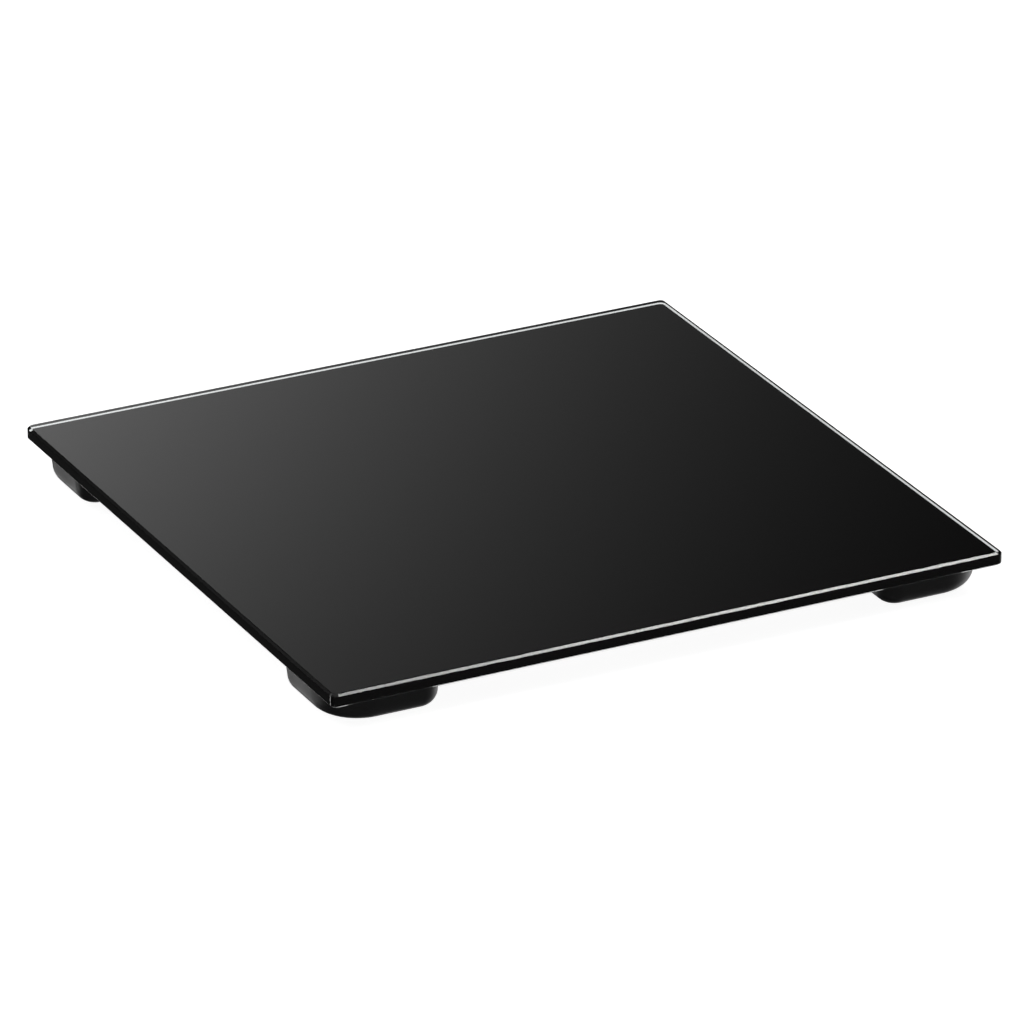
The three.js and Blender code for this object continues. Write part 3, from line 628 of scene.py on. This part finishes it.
def display_case():
    return mottled("display_case", (0.008, 0.008, 0.008), (0.013, 0.013, 0.013), rough=(0.2, 0.32),
                   scale=200)


def milky_film():
    return mottled("milky_film", (0.72, 0.72, 0.70), (0.66, 0.66, 0.65), rough=(0.4, 0.55), scale=500)


def copper_band():
    return mottled("copper_band", (0.36, 0.13, 0.045), (0.28, 0.1, 0.035), rough=(0.25, 0.4), scale=260)


def button_grey():
    return mottled("button_grey", (0.13, 0.13, 0.14), (0.16, 0.16, 0.17), rough=(0.35, 0.5), scale=260)


def natural_nylon():
    return mottled("natural_nylon", (0.70, 0.66, 0.56), (0.64, 0.60, 0.50), rough=(0.35, 0.5), scale=240,
                   Subsurface_Weight=0.15)


def red_pvc():
    return mottled("red_pvc", (0.36, 0.008, 0.008), (0.28, 0.006, 0.006), rough=PVC_SHEEN, scale=500)


def black_pvc():
    return mottled("black_pvc", (0.008, 0.008, 0.008), (0.014, 0.014, 0.014), rough=PVC_SHEEN, scale=500)


MATERIAL_MAKERS = {
    "clear_glass": clear_glass,
    "black_print": black_print,
    "film_back": film_back,
    "moulded_black": moulded_black,
    "rubber": rubber,
    "foam": foam,
    "cell_steel": cell_steel,
    "screw_steel": screw_steel,
    "nickel": nickel,
    "silicone": silicone,
    "jacket": ribbon_jacket,
    "board": circuit_board,
    "chip": chip_body,
    "display": display_case,
    "diffuser": milky_film,
    "wrap": battery_wrap,
    "copper_band": copper_band,
    "button": button_grey,
    "nylon": natural_nylon,
    "red_pvc": red_pvc,
    "black_pvc": black_pvc,
}
MATERIALS = {key: make() for key, make in MATERIAL_MAKERS.items()}


# ---- Platform ----


def glass_platform():
    """The clear plate, with the black print as the material of its underside."""
    low, high = box_mm("glass_platform")
    centre, half = plan(low, high)
    profile = rounded_profile([
        (ARRIS_MM + FACE_RING_MM, high.z),
        (ARRIS_MM, high.z),
        (0, high.z - ARRIS_MM),
        (0, low.z + LOWER_ARRIS_MM),
        (ARRIS_MM, low.z),
        (ARRIS_MM + PRINT_RING_MM, low.z),
    ], ARRIS_ROUND_MM)
    keys = ("clear_glass", "black_print")
    plate = loft("glass_plate", centre, half, [GLASS_CORNER_MM] * 4, profile)
    coat(plate, *keys)
    for face in plate.data.polygons:
        if face.normal.z < DOWNWARD:
            face.material_index = keys.index("black_print")
    place(plate, "platform", "clear_glass", "glass_platform")


def back_film():
    """The safety film under the print, set in from the glass's edge."""
    low, high = box_mm("back_film")
    centre, half = plan(*box_mm("glass_platform"))
    film = loft("safety_film", centre, half, [GLASS_CORNER_MM] * 4, [
        (FILM_INSET_MM, high.z - FILM_GAP_MM),
        (FILM_INSET_MM, low.z + FILM_BREAK_MM),
        (FILM_INSET_MM + FILM_BREAK_MM, low.z),
    ])
    coat(film, "film_back")
    place(film, "platform", "black_print", "back_film")


# ---- Feet ----

# Each foot's name and which way its platform corner lies along X and Y.
FEET = [
    (end + "_" + side, sign_x, sign_y)
    for end, sign_y in (("front", -1), ("back", 1))
    for side, sign_x in (("left", -1), ("right", 1))
]
# The order of a loft's corners.
CORNER_SIGNS = ((1, 1), (-1, 1), (-1, -1), (1, -1))


class Foot:
    """Where one foot is, and lofts of its outline."""

    def __init__(self, name, sign_x, sign_y):
        self.name = name
        self.low, self.high = box_mm(name + "_foot_housing")
        self.centre, self.half = plan(self.low, self.high)
        self.corners = [FOOT_CORNER_MM] * 4
        self.corners[CORNER_SIGNS.index((sign_x, sign_y))] = FOOT_OUTER_CORNER_MM
        self.turned = sign_y > 0
        self.mirror = -sign_x

    def loft(self, part, rings):
        return loft(self.name + "_" + part, self.centre, self.half, self.corners, rings)

    def at(self, x, y):
        """A point of the foot's own frame: the platform's corner is (-, -) and the lead leaves along +Y."""
        if self.turned:
            x, y = y, -x
        return (self.centre[0] + self.mirror * x, self.centre[1] + y)

    def cuboid(self, part, low, high):
        """A block of the foot's own frame."""
        first = self.at(low[0], low[1])
        last = self.at(high[0], high[1])
        lower = [min(pair) for pair in zip(first, last)]
        upper = [max(pair) for pair in zip(first, last)]
        return cuboid(self.name + "_" + part, (*lower, low[2]), (*upper, high[2]))

    def post(self, part, x, y, radius, bottom, top):
        """A round post of the foot's own frame, with its upper edge broken."""
        profile = [(0, top), (radius - EDGE_MM, top), (radius, top - EDGE_MM), (radius, bottom), (0, bottom)]
        return turned(self.name + "_" + part, (*self.at(x, y), 0), profile, sides=POST_SIDES)


def housing_rings(top, bottom):
    """Down the skirt's outside, round its lip and up its inside to the deck's underside."""
    fillet = FOOT_FILLET_MM
    wall = FOOT_WALL_MM
    draft = FOOT_DRAFT_MM
    lip = FOOT_LIP_INSET_MM
    rings = [
        (FACE_RING_MM, top),
        (TOP_BREAK_MM, top),
        (TOP_BREAK_MIDDLE_MM, top - TOP_BREAK_MIDDLE_MM),
        (0, top - TOP_BREAK_MM),
    ]
    centre = (draft + fillet, bottom + fillet)
    rings += arc_rings((draft, centre[1]), (centre[0], bottom), centre)
    rings += [
        (lip - LIP_BREAK_MM, bottom),
        (lip - LIP_BREAK_MIDDLE_MM, bottom + LIP_BREAK_MIDDLE_MM),
        (lip, bottom + LIP_BREAK_MM),
        (lip, bottom + wall),
    ]
    rings += arc_rings((centre[0], bottom + wall), (draft + wall, centre[1]), centre, SMALL_STEPS)
    rings += [(wall, top - FOOT_DECK_MM)]
    return rings


def housing(foot):
    """The shell that is stuck under the glass, with the pegs that hold the load cell."""
    top = foot.high.z
    deck = top - FOOT_DECK_MM
    shell = foot.loft("foot_shell", housing_rings(top, foot.low.z))
    for x in (-CELL_PEG_MM, CELL_PEG_MM):
        for y in (-CELL_PEG_MM, CELL_PEG_MM):
            boss = foot.post("boss", x, y, BOSS_RADIUS_MM, BOSS_BOTTOM_MM, deck + JOIN_MM)
            peg = foot.post("peg", x, y, PEG_RADIUS_MM, PEG_BOTTOM_MM, BOSS_BOTTOM_MM + JOIN_MM)
            head = foot.post("peg_head", x, y, PEG_HEAD_RADIUS_MM, PEG_HEAD_BOTTOM_MM, PEG_HEAD_TOP_MM)
            for part in (boss, peg, head):
                combine(shell, part, "UNION")
    cuts = (("channel", CHANNEL_Y_MM, deck - CUT_MM), ("notch", NOTCH_Y_MM, NOTCH_BOTTOM_MM))
    for part, (near, far), cut_from in cuts:
        block = foot.cuboid(part, (-LEAD_NOTCH_MM, near, cut_from), (LEAD_NOTCH_MM, far, top + CUT_MM))
        combine(shell, block, "DIFFERENCE")
    coat(shell, "moulded_black")
    place(shell, "platform", "black_abs", foot.name + "_foot_housing")


def dish_rings(bottom):
    """From the dish's floor over its rim, down its outside and into the recess for the rubber pad."""
    outer = PLATE_INSET_MM
    inner = outer + PLATE_WALL_MM
    centre = (outer + PLATE_ROUND_MM, bottom + PLATE_ROUND_MM)
    rings = [
        (inner + FACE_RING_MM, PLATE_FLOOR_TOP_MM),
        (inner, PLATE_FLOOR_TOP_MM),
        (inner, PLATE_RIM_MM),
        (outer, PLATE_RIM_MM),
    ]
    rings += arc_rings((outer, centre[1]), (centre[0], bottom), centre, SMALL_STEPS)
    rings += [
        (inner - PLATE_BREAK_MM, bottom),
        (inner, bottom + PLATE_BREAK_MM),
        (inner, bottom + PLATE_SEAT_MM),
        (inner + FACE_RING_MM, bottom + PLATE_SEAT_MM),
    ]
    return rings


def foot_plate(foot):
    """The moving dish, with the ribs and boss that bear on the load cell and the clips that hold it."""
    node = foot.name + "_foot_plate"
    plate = foot.loft("foot_dish", dish_rings(box_mm(node)[0].z))
    reach = foot.half[0] - PLATE_INSET_MM - RIB_END_MM
    side = RIB_WIDTH_MM / 2
    base = PLATE_RECESS_MM + JOIN_MM
    rib_top = PLATE_RIM_MM - RIB_DROP_MM
    parts = [
        foot.cuboid("rib", (-reach, TONGUE_Y_MM - side, base), (reach, TONGUE_Y_MM + side, rib_top)),
        foot.cuboid("cross_rib", (-side, -reach, base), (side, reach, rib_top)),
        foot.post("boss", 0, TONGUE_Y_MM, PLATE_BOSS_RADIUS_MM, base, PLATE_BOSS_TOP_MM),
    ]
    inner, outer = CLIP_X_MM
    near, far = CLIP_Y_MM
    for sign in (1, -1):
        end = (sign * outer, far, CLIP_TOP_MM)
        parts.append(foot.cuboid("clip", (sign * inner, near, base), end))
        parts.append(foot.cuboid("hook", (sign * HOOK_INNER_MM, near, HOOK_BOTTOM_MM), end))
    for part in parts:
        combine(plate, part, "UNION")
    coat(plate, "moulded_black")
    place(plate, "foot_" + foot.name, "black_abs", node)


def rubber_pad(foot):
    """The pad, with its square rings of grooves."""
    node = foot.name + "_rubber_pad"
    top = box_mm(node)[1].z
    edge = PAD_INSET_MM
    centre = (edge + PAD_ROUND_MM, PAD_ROUND_MM)
    rings = [(edge + FACE_RING_MM, top), (edge, top)]
    rings += arc_rings((edge, centre[1]), (centre[0], 0), centre, SMALL_STEPS)
    tread = [(edge + PAD_TREAD_MM, 0.0)]
    for start in GROOVES_MM:
        end = start + GROOVE_WIDTH_MM
        tread.append((start, 0.0))
        tread.append((start + GROOVE_DRAFT_MM, GROOVE_DEPTH_MM))
        tread.append((end - GROOVE_DRAFT_MM, GROOVE_DEPTH_MM))
        tread.append((end, 0.0))
    tread.append((end + FACE_RING_MM, 0.0))
    rings += rounded_profile(tread, GROOVE_ROUND_MM, PAD_GROOVE_STEPS)
    pad = foot.loft("foot_pad", rings)
    coat(pad, "rubber")
    place(pad, "foot_" + foot.name, "black_rubber", node)


# ---- Inside the feet and the tray ----


def potting(foot):
    """A domed bead of silicone over the load cell's gauges."""
    node = foot.name + "_gauge_potting"
    low, high = box_mm(node)
    centre, half = plan(low, high)
    crown = half[1] * BEAD_CROWN
    rings = arc_rings((crown, high.z), (0, low.z), (crown, low.z), BEAD_DOME_STEPS)
    bead = loft(foot.name + "_silicone_bead", centre, half, [BEAD_CORNER_MM] * 4, rings, BEAD_CORNER_STEPS)
    coat(bead, "silicone")
    place(bead, "platform", "white_silicone", node)


def unit_button():
    """A round key with a finger dimple and a flange inside the tray."""
    low, high = box_mm("unit_button")
    centre, half = plan(low, high)
    flange = half[0]
    stem = flange - KEY_FLANGE_MM
    under = high.z - KEY_FLANGE_THICK_MM
    profile = [
        (0, high.z),
        (flange - KEY_BREAK_MM, high.z),
        (flange, high.z - KEY_BREAK_MM),
        (flange, under + KEY_BREAK_MM),
        (flange - KEY_BREAK_MM, under),
        (stem + KEY_NECK_MM, under),
        (stem, under - KEY_BREAK_MM),
        (stem, low.z + KEY_ROUND_MM),
        (stem - KEY_ROUND_MIDDLE_MM, low.z + KEY_ROUND_MIDDLE_MM),
        (stem - KEY_ROUND_MM, low.z),
    ]
    profile += [(radius, low.z + depth) for radius, depth in KEY_DIMPLE_MM]
    key = turned("unit_key", (*centre, 0), profile)
    coat(key, "button")
    place(key, "unit_button", "button_grey", "unit_button")


def battery_profile(half, band):
    """A cell's profile from the tip over the shoulder, down the sleeve to the band and round the base."""
    shoulder = half - BATTERY_SHOULDER_MM
    top = [(radius, shoulder + height) for radius, height in BATTERY_NUB_MM + BATTERY_ROLL_MM]
    middle = [(BATTERY_RADIUS_MM, band), (BATTERY_RADIUS_MM, band - BATTERY_BAND_STEP_MM)]
    base = [(radius, height - half) for radius, height in BATTERY_BASE_MM]
    return top + middle + base


def battery(number):
    """A sleeved cell with a rolled shoulder and a rounded nub. The middle one points the other way."""
    node = "aaa_battery_" + str(number)
    low, high = box_mm(node)
    middle = (low + high) / 2
    half = (high.x - low.x) / 2
    band = half * BATTERY_BAND
    sign = -1 if number == 2 else 1
    turn = Matrix(((0, 0, sign), (0, 1, 0), (-sign, 0, 0)))
    keys = ("wrap", "copper_band", "nickel")
    cell = turned(node + "_cell", middle, battery_profile(half, band), turn)
    coat(cell, *keys)
    for face in cell.data.polygons:
        along = sign * (face.center.x / MM - middle.x)
        reach = math.hypot(face.center.y / MM - middle.y, face.center.z / MM - middle.z)
        if reach < BATTERY_METAL_MM:
            face.material_index = keys.index("nickel")
        elif along > band - BATTERY_BAND_STEP_MM / 2:
            face.material_index = keys.index("copper_band")
    place(cell, "platform", "battery_wrap", node)


def coil(name, centre, side):
    """A conical spring from the strip towards the cell's end."""
    path = []
    for i in range(COIL_STEPS + 1):
        t = i / COIL_STEPS
        angle = t * COIL_TURNS * 2 * math.pi
        reach = COIL_RADIUS_MM - COIL_TAPER_MM * t
        x = -side * (COIL_SEAT_MM + t * (CONTACT_REACH_MM - 2 * COIL_SEAT_MM))
        path.append(centre + Vector((x, reach * math.cos(angle), reach * math.sin(angle))))
    return as_mesh(tube(name, path, COIL_WIRE_MM))


def dimple(name, centre, side):
    """A pressed dome from the strip towards the cell's end."""
    turn = Matrix(((0, 0, -side), (0, 1, 0), (side, 0, 0)))
    profile = [(radius, CONTACT_REACH_MM - depth) for radius, depth in DIMPLE_CROWN_MM]
    profile += DIMPLE_FOOT_MM
    return turned(name, centre, profile, turn, POST_SIDES)


def contact(node, rows):
    """A contact strip with a coil or a pressed dimple for each (cell row, has a coil) pair."""
    low, high = box_mm(node)
    side = 1 if low.x > 0 else -1
    face_x = CONTACT_FACE_MM * side
    back_x = face_x + CONTACT_THICK_MM * side
    left_x, right_x = sorted((face_x, back_x))
    plate = cuboid(node + "_strip", (left_x, low.y, low.z), (right_x, high.y, high.z))
    soften(plate, CONTACT_EDGE_MM)
    parts = []
    for row, has_coil in rows:
        centre = Vector((face_x, CELL_ROWS_MM[row], CELL_AXIS_MM))
        if has_coil:
            parts.append(coil(node + "_coil", centre, side))
        else:
            parts.append(dimple(node + "_dimple", centre, side))
    joined(plate, *parts)
    coat(plate, "nickel")
    place(plate, "platform", "nickel", node)


def battery_wire(node, key, slot, points):
    """A round wire that runs smoothly through its route's points."""
    lead = as_mesh(tube(node + "_run", through(points), WIRE_RADIUS_MM))
    coat(lead, key)
    place(lead, "platform", slot, node)


# ---- CAD nodes that keep their shape ----

# Node, material and the width of its rounded edges in millimetres.
FOOT_NODES = (
    ("bond_tape", "foam", 0.08),
    ("raceway", "moulded_black", 0.2),
    ("load_cell", "cell_steel", 0.2),
    ("lead", "jacket", 0.3),
)
TRAY_NODES = (
    ("electronics_tray", "moulded_black", 0.25),
    ("battery_door", "moulded_black", 0.2),
    ("tray_bond_tape", "foam", 0.08),
    ("pcb", "board", 0.1),
    ("mcu_chip", "chip", 0.1),
    ("display_module", "display", 0.2),
    ("display_diffuser", "diffuser", 0.1),
    ("tact_switch", "nickel", 0.15),
    ("left_lead_connector", "nylon", 0.2),
    ("right_lead_connector", "nylon", 0.2),
    ("pcb_screw_left", "screw_steel", 0.08),
    ("pcb_screw_right", "screw_steel", 0.08),
)


def dress(node, key, edge_mm):
    """A CAD node with its own material and slightly rounded edges."""
    piece = frame["nodes"][node]
    coat(piece, key)
    soften(piece, edge_mm)
    smooth(piece, CAD_SMOOTH_ANGLE)


# ---- Stage ----

CAMERA_AT = Vector((-1.5057, -3.0603, 1.5238))
CAMERA_LOOKS = Vector((0.40405, 0.8198, -0.40581))
CAMERA_ROLL = math.radians(-0.44)
CAMERA_LENS = 308.8
CAMERA_FAR = 50
SENSOR = 36.0

# The studio is a dim room with soft lights, each a lobe of the world: heading and elevation in degrees,
# tightness (one over the square of its spread in radians) and radiance.
SHEEN_LIGHT = (16.35, 18.3, 173.0, 4.14)  # low behind: the grey sheen on the glass
ARRIS_LIGHT = (133.6, 53.2, 420.0, 14.0)  # high in front: the line along the front edge
LEFT_SHEEN = (-48.0, 28.0, 40.0, 1.7)  # for the glass seen from the right and from behind
FRONT_SHEEN = (128.0, 10.0, 30.0, 0.7)
ROOM_LIGHTS = (SHEEN_LIGHT, ARRIS_LIGHT, LEFT_SHEEN, FRONT_SHEEN)
CORNER_LIGHT = (-50.0, -26.0, 150.0, 4.0)  # the thin line down the glass's near corner
LEFT_FLOOR = (-12.0, -33.0, 160.0, 2.7)  # lit floor at the back left, in the feet's left sides
RIGHT_FLOOR = (70.0, -24.0, 12.0, 1.5)  # in the right ends of the feet
BACK_FLOOR = (33.0, -42.0, 60.0, 1.3)  # in the lower arris of the glass, in front
FLOOR_LIGHTS = (CORNER_LIGHT, LEFT_FLOOR, RIGHT_FLOOR, BACK_FLOOR)
ROOM_RADIANCE = 0.004
FLOOR_RADIANCE = 0.01
FLOOR_FROM = 0.02  # the sine of the elevation where the floor's light starts
FLOOR_FULL = -0.05
FRONT_FLOOR_RADIANCE = 0.08
FRONT_FROM = -0.3  # the direction's part towards the front where the front floor's light starts
FRONT_FULL = 0.6
SKY_RADIANCE = 0.35
SKY_FROM = 0.62  # the sine of the elevation where the bright ceiling starts
SKY_FULL = 0.72
BACKDROP_RADIANCE = 1.0
FLOOR_COLOR = (0.86, 0.86, 0.86)
FLOOR_GLOW = 0.94  # the floor is a lit white table
FLOOR_HALF_MM = 6000
FLOOR_THICK_MM = 20
OVERHEAD_SIZE = 4.0
OVERHEAD_HEIGHT = 3.0
OVERHEAD_RADIANCE = 0.2


def camera():
    """The photo's camera, fitted to the platform's corners."""
    data = bpy.data.cameras.new("camera")
    data.sensor_width = SENSOR
    data.lens = CAMERA_LENS
    data.clip_end = CAMERA_FAR
    piece = bpy.data.objects.new("camera", data)
    bpy.context.scene.collection.objects.link(piece)
    roll = Quaternion((0, 0, 1), CAMERA_ROLL)
    piece.rotation_euler = (CAMERA_LOOKS.to_track_quat("-Z", "Y") @ roll).to_euler()
    piece.location = CAMERA_AT
    bpy.context.scene.camera = piece


def overhead_light():
    """A large soft lamp for the faces that look up."""
    data = bpy.data.lights.new("overhead", "AREA")
    data.shape = "SQUARE"
    data.size = OVERHEAD_SIZE
    data.energy = OVERHEAD_RADIANCE * math.pi * OVERHEAD_SIZE * OVERHEAD_SIZE
    light = bpy.data.objects.new("overhead", data)
    bpy.context.scene.collection.objects.link(light)
    light.location = (0, 0, OVERHEAD_HEIGHT)


def floor():
    """A glowing table that the glossy pieces don't mirror."""
    low = (-FLOOR_HALF_MM, -FLOOR_HALF_MM, -FLOOR_THICK_MM)
    piece = cuboid("floor", low, (FLOOR_HALF_MM, FLOOR_HALF_MM, 0))
    material = new_material("floor", FLOOR_COLOR, 0.9, Specular_IOR_Level=0.0,
                            Emission_Color=WHITE, Emission_Strength=FLOOR_GLOW)
    piece.data.materials.append(material)
    piece.visible_glossy = False


class World:
    """The nodes of the studio's world, which sends light by its direction alone."""

    def __init__(self):
        studio = bpy.data.worlds.new("studio")
        bpy.context.scene.world = studio
        studio.use_nodes = True
        self.tree = studio.node_tree
        self.tree.nodes.clear()
        self.direction = self.node("ShaderNodeTexCoord").outputs["Generated"]

    def node(self, kind, *sources):
        made = self.tree.nodes.new(kind)
        for socket, source in zip(made.inputs, sources):
            self.feed(socket, source)
        return made

    def feed(self, socket, source):
        if isinstance(source, bpy.types.NodeSocket):
            self.tree.links.new(source, socket)
        else:
            socket.default_value = source

    def maths(self, operation, *sources):
        made = self.node("ShaderNodeMath", *sources)
        made.operation = operation
        return made.outputs[0]

    def step(self, source, low, high):
        """A smooth rise from 0 where the source is low to 1 where it is high."""
        made = self.node("ShaderNodeMapRange", source, low, high, 0.0, 1.0)
        made.interpolation_type = "SMOOTHSTEP"
        return made.outputs[0]

    def lobe(self, heading, elevation, tightness, radiance):
        """A round patch of light that fades like a bell curve."""
        heading = math.radians(heading)
        elevation = math.radians(elevation)
        level = math.cos(elevation)
        towards = (math.sin(heading) * level, math.cos(heading) * level, math.sin(elevation))
        dot = self.node("ShaderNodeVectorMath", self.direction, towards)
        dot.operation = "DOT_PRODUCT"
        off = self.maths("SUBTRACT", dot.outputs["Value"], 1.0)
        fade = self.maths("EXPONENT", self.maths("MULTIPLY", off, tightness))
        return self.maths("MULTIPLY", fade, radiance)

    def lobes(self, lights):
        return [self.lobe(*light) for light in lights]

    def total(self, *sources):
        result = sources[0]
        for source in sources[1:]:
            result = self.maths("ADD", result, source)
        return result


def world():
    """Light for the object, and a pale backdrop for the camera itself."""
    studio = World()
    parts = studio.node("ShaderNodeSeparateXYZ", studio.direction).outputs
    forward = studio.maths("MULTIPLY", parts["Y"], -1.0)
    front = studio.maths("MULTIPLY", studio.step(forward, FRONT_FROM, FRONT_FULL), FRONT_FLOOR_RADIANCE)
    floor_light = studio.total(*studio.lobes(FLOOR_LIGHTS), front, FLOOR_RADIANCE)
    below = studio.maths("MULTIPLY", studio.step(parts["Z"], FLOOR_FROM, FLOOR_FULL), floor_light)
    sky = studio.maths("MULTIPLY", studio.step(parts["Z"], SKY_FROM, SKY_FULL), SKY_RADIANCE)
    room = studio.total(*studio.lobes(ROOM_LIGHTS), below, sky, ROOM_RADIANCE)
    light = studio.node("ShaderNodeBackground", WHITE, room)
    backdrop = studio.node("ShaderNodeBackground", WHITE, BACKDROP_RADIANCE)
    seen = studio.node("ShaderNodeLightPath").outputs["Is Camera Ray"]
    mixed = studio.node("ShaderNodeMixShader", seen, light.outputs[0], backdrop.outputs[0])
    studio.node("ShaderNodeOutputWorld", mixed.outputs[0])


# ---- The scene ----

camera()
glass_platform()
back_film()
for foot_facts in FEET:
    this_foot = Foot(*foot_facts)
    housing(this_foot)
    foot_plate(this_foot)
    rubber_pad(this_foot)
    potting(this_foot)
    for suffix, foot_key, foot_edge in FOOT_NODES:
        dress(this_foot.name + "_" + suffix, foot_key, foot_edge)
for tray_facts in TRAY_NODES:
    dress(*tray_facts)
unit_button()
for cell_number in (1, 2, 3):
    battery(cell_number)
contact("contact_positive", [(0, False)])
contact("contact_bridge_left", [(0, True), (1, False)])
contact("contact_bridge_right", [(1, True), (2, False)])
contact("contact_negative", [(2, True)])
battery_wire("battery_wire_red", "red_pvc", "wire_red", RED_ROUTE_MM)
battery_wire("battery_wire_black", "black_pvc", "wire_black", BLACK_ROUTE_MM)

overhead_light()
floor()
world()
bpy.context.scene.view_settings.view_transform = "Standard"
